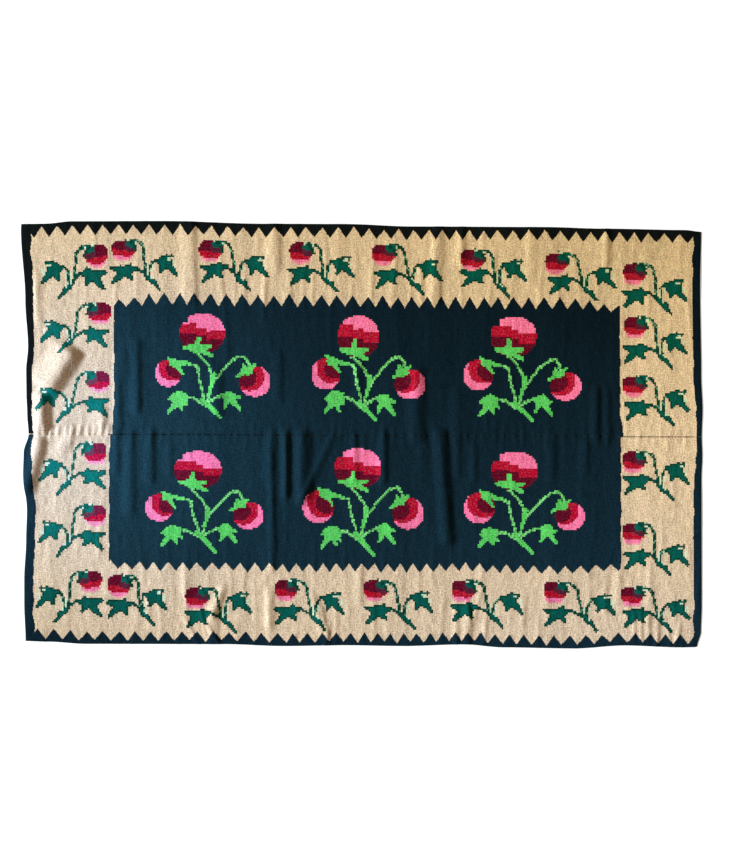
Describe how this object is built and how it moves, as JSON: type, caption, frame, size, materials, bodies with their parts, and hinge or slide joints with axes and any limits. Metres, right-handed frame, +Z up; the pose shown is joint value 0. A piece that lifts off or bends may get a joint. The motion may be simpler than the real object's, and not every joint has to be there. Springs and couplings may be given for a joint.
{
  "type": "handwoven wool rug",
  "caption": "Long flat-woven wool floor rug, sewn along its middle, with stepped flower bouquets on a dark field and a pale saw-toothed border of leafy sprigs.",
  "frame": {"origin": "on the floor under the middle of the rug", "axes": "+X along the length and the warps, +Y across it towards the far selvedge, +Z up out of the patterned face"},
  "size_m": [2.4985, 1.568, 0.0297],
  "materials": {
    "woven_wool": "weft-faced wool tapestry weave, matt, with warp ribs along the length",
    "sewing_wool": "dark woollen sewing yarn, matt"
  },
  "bodies": {
    "root": {"far_panel": "woven_wool", "near_panel": "woven_wool"}
  },
  "joints": []
}
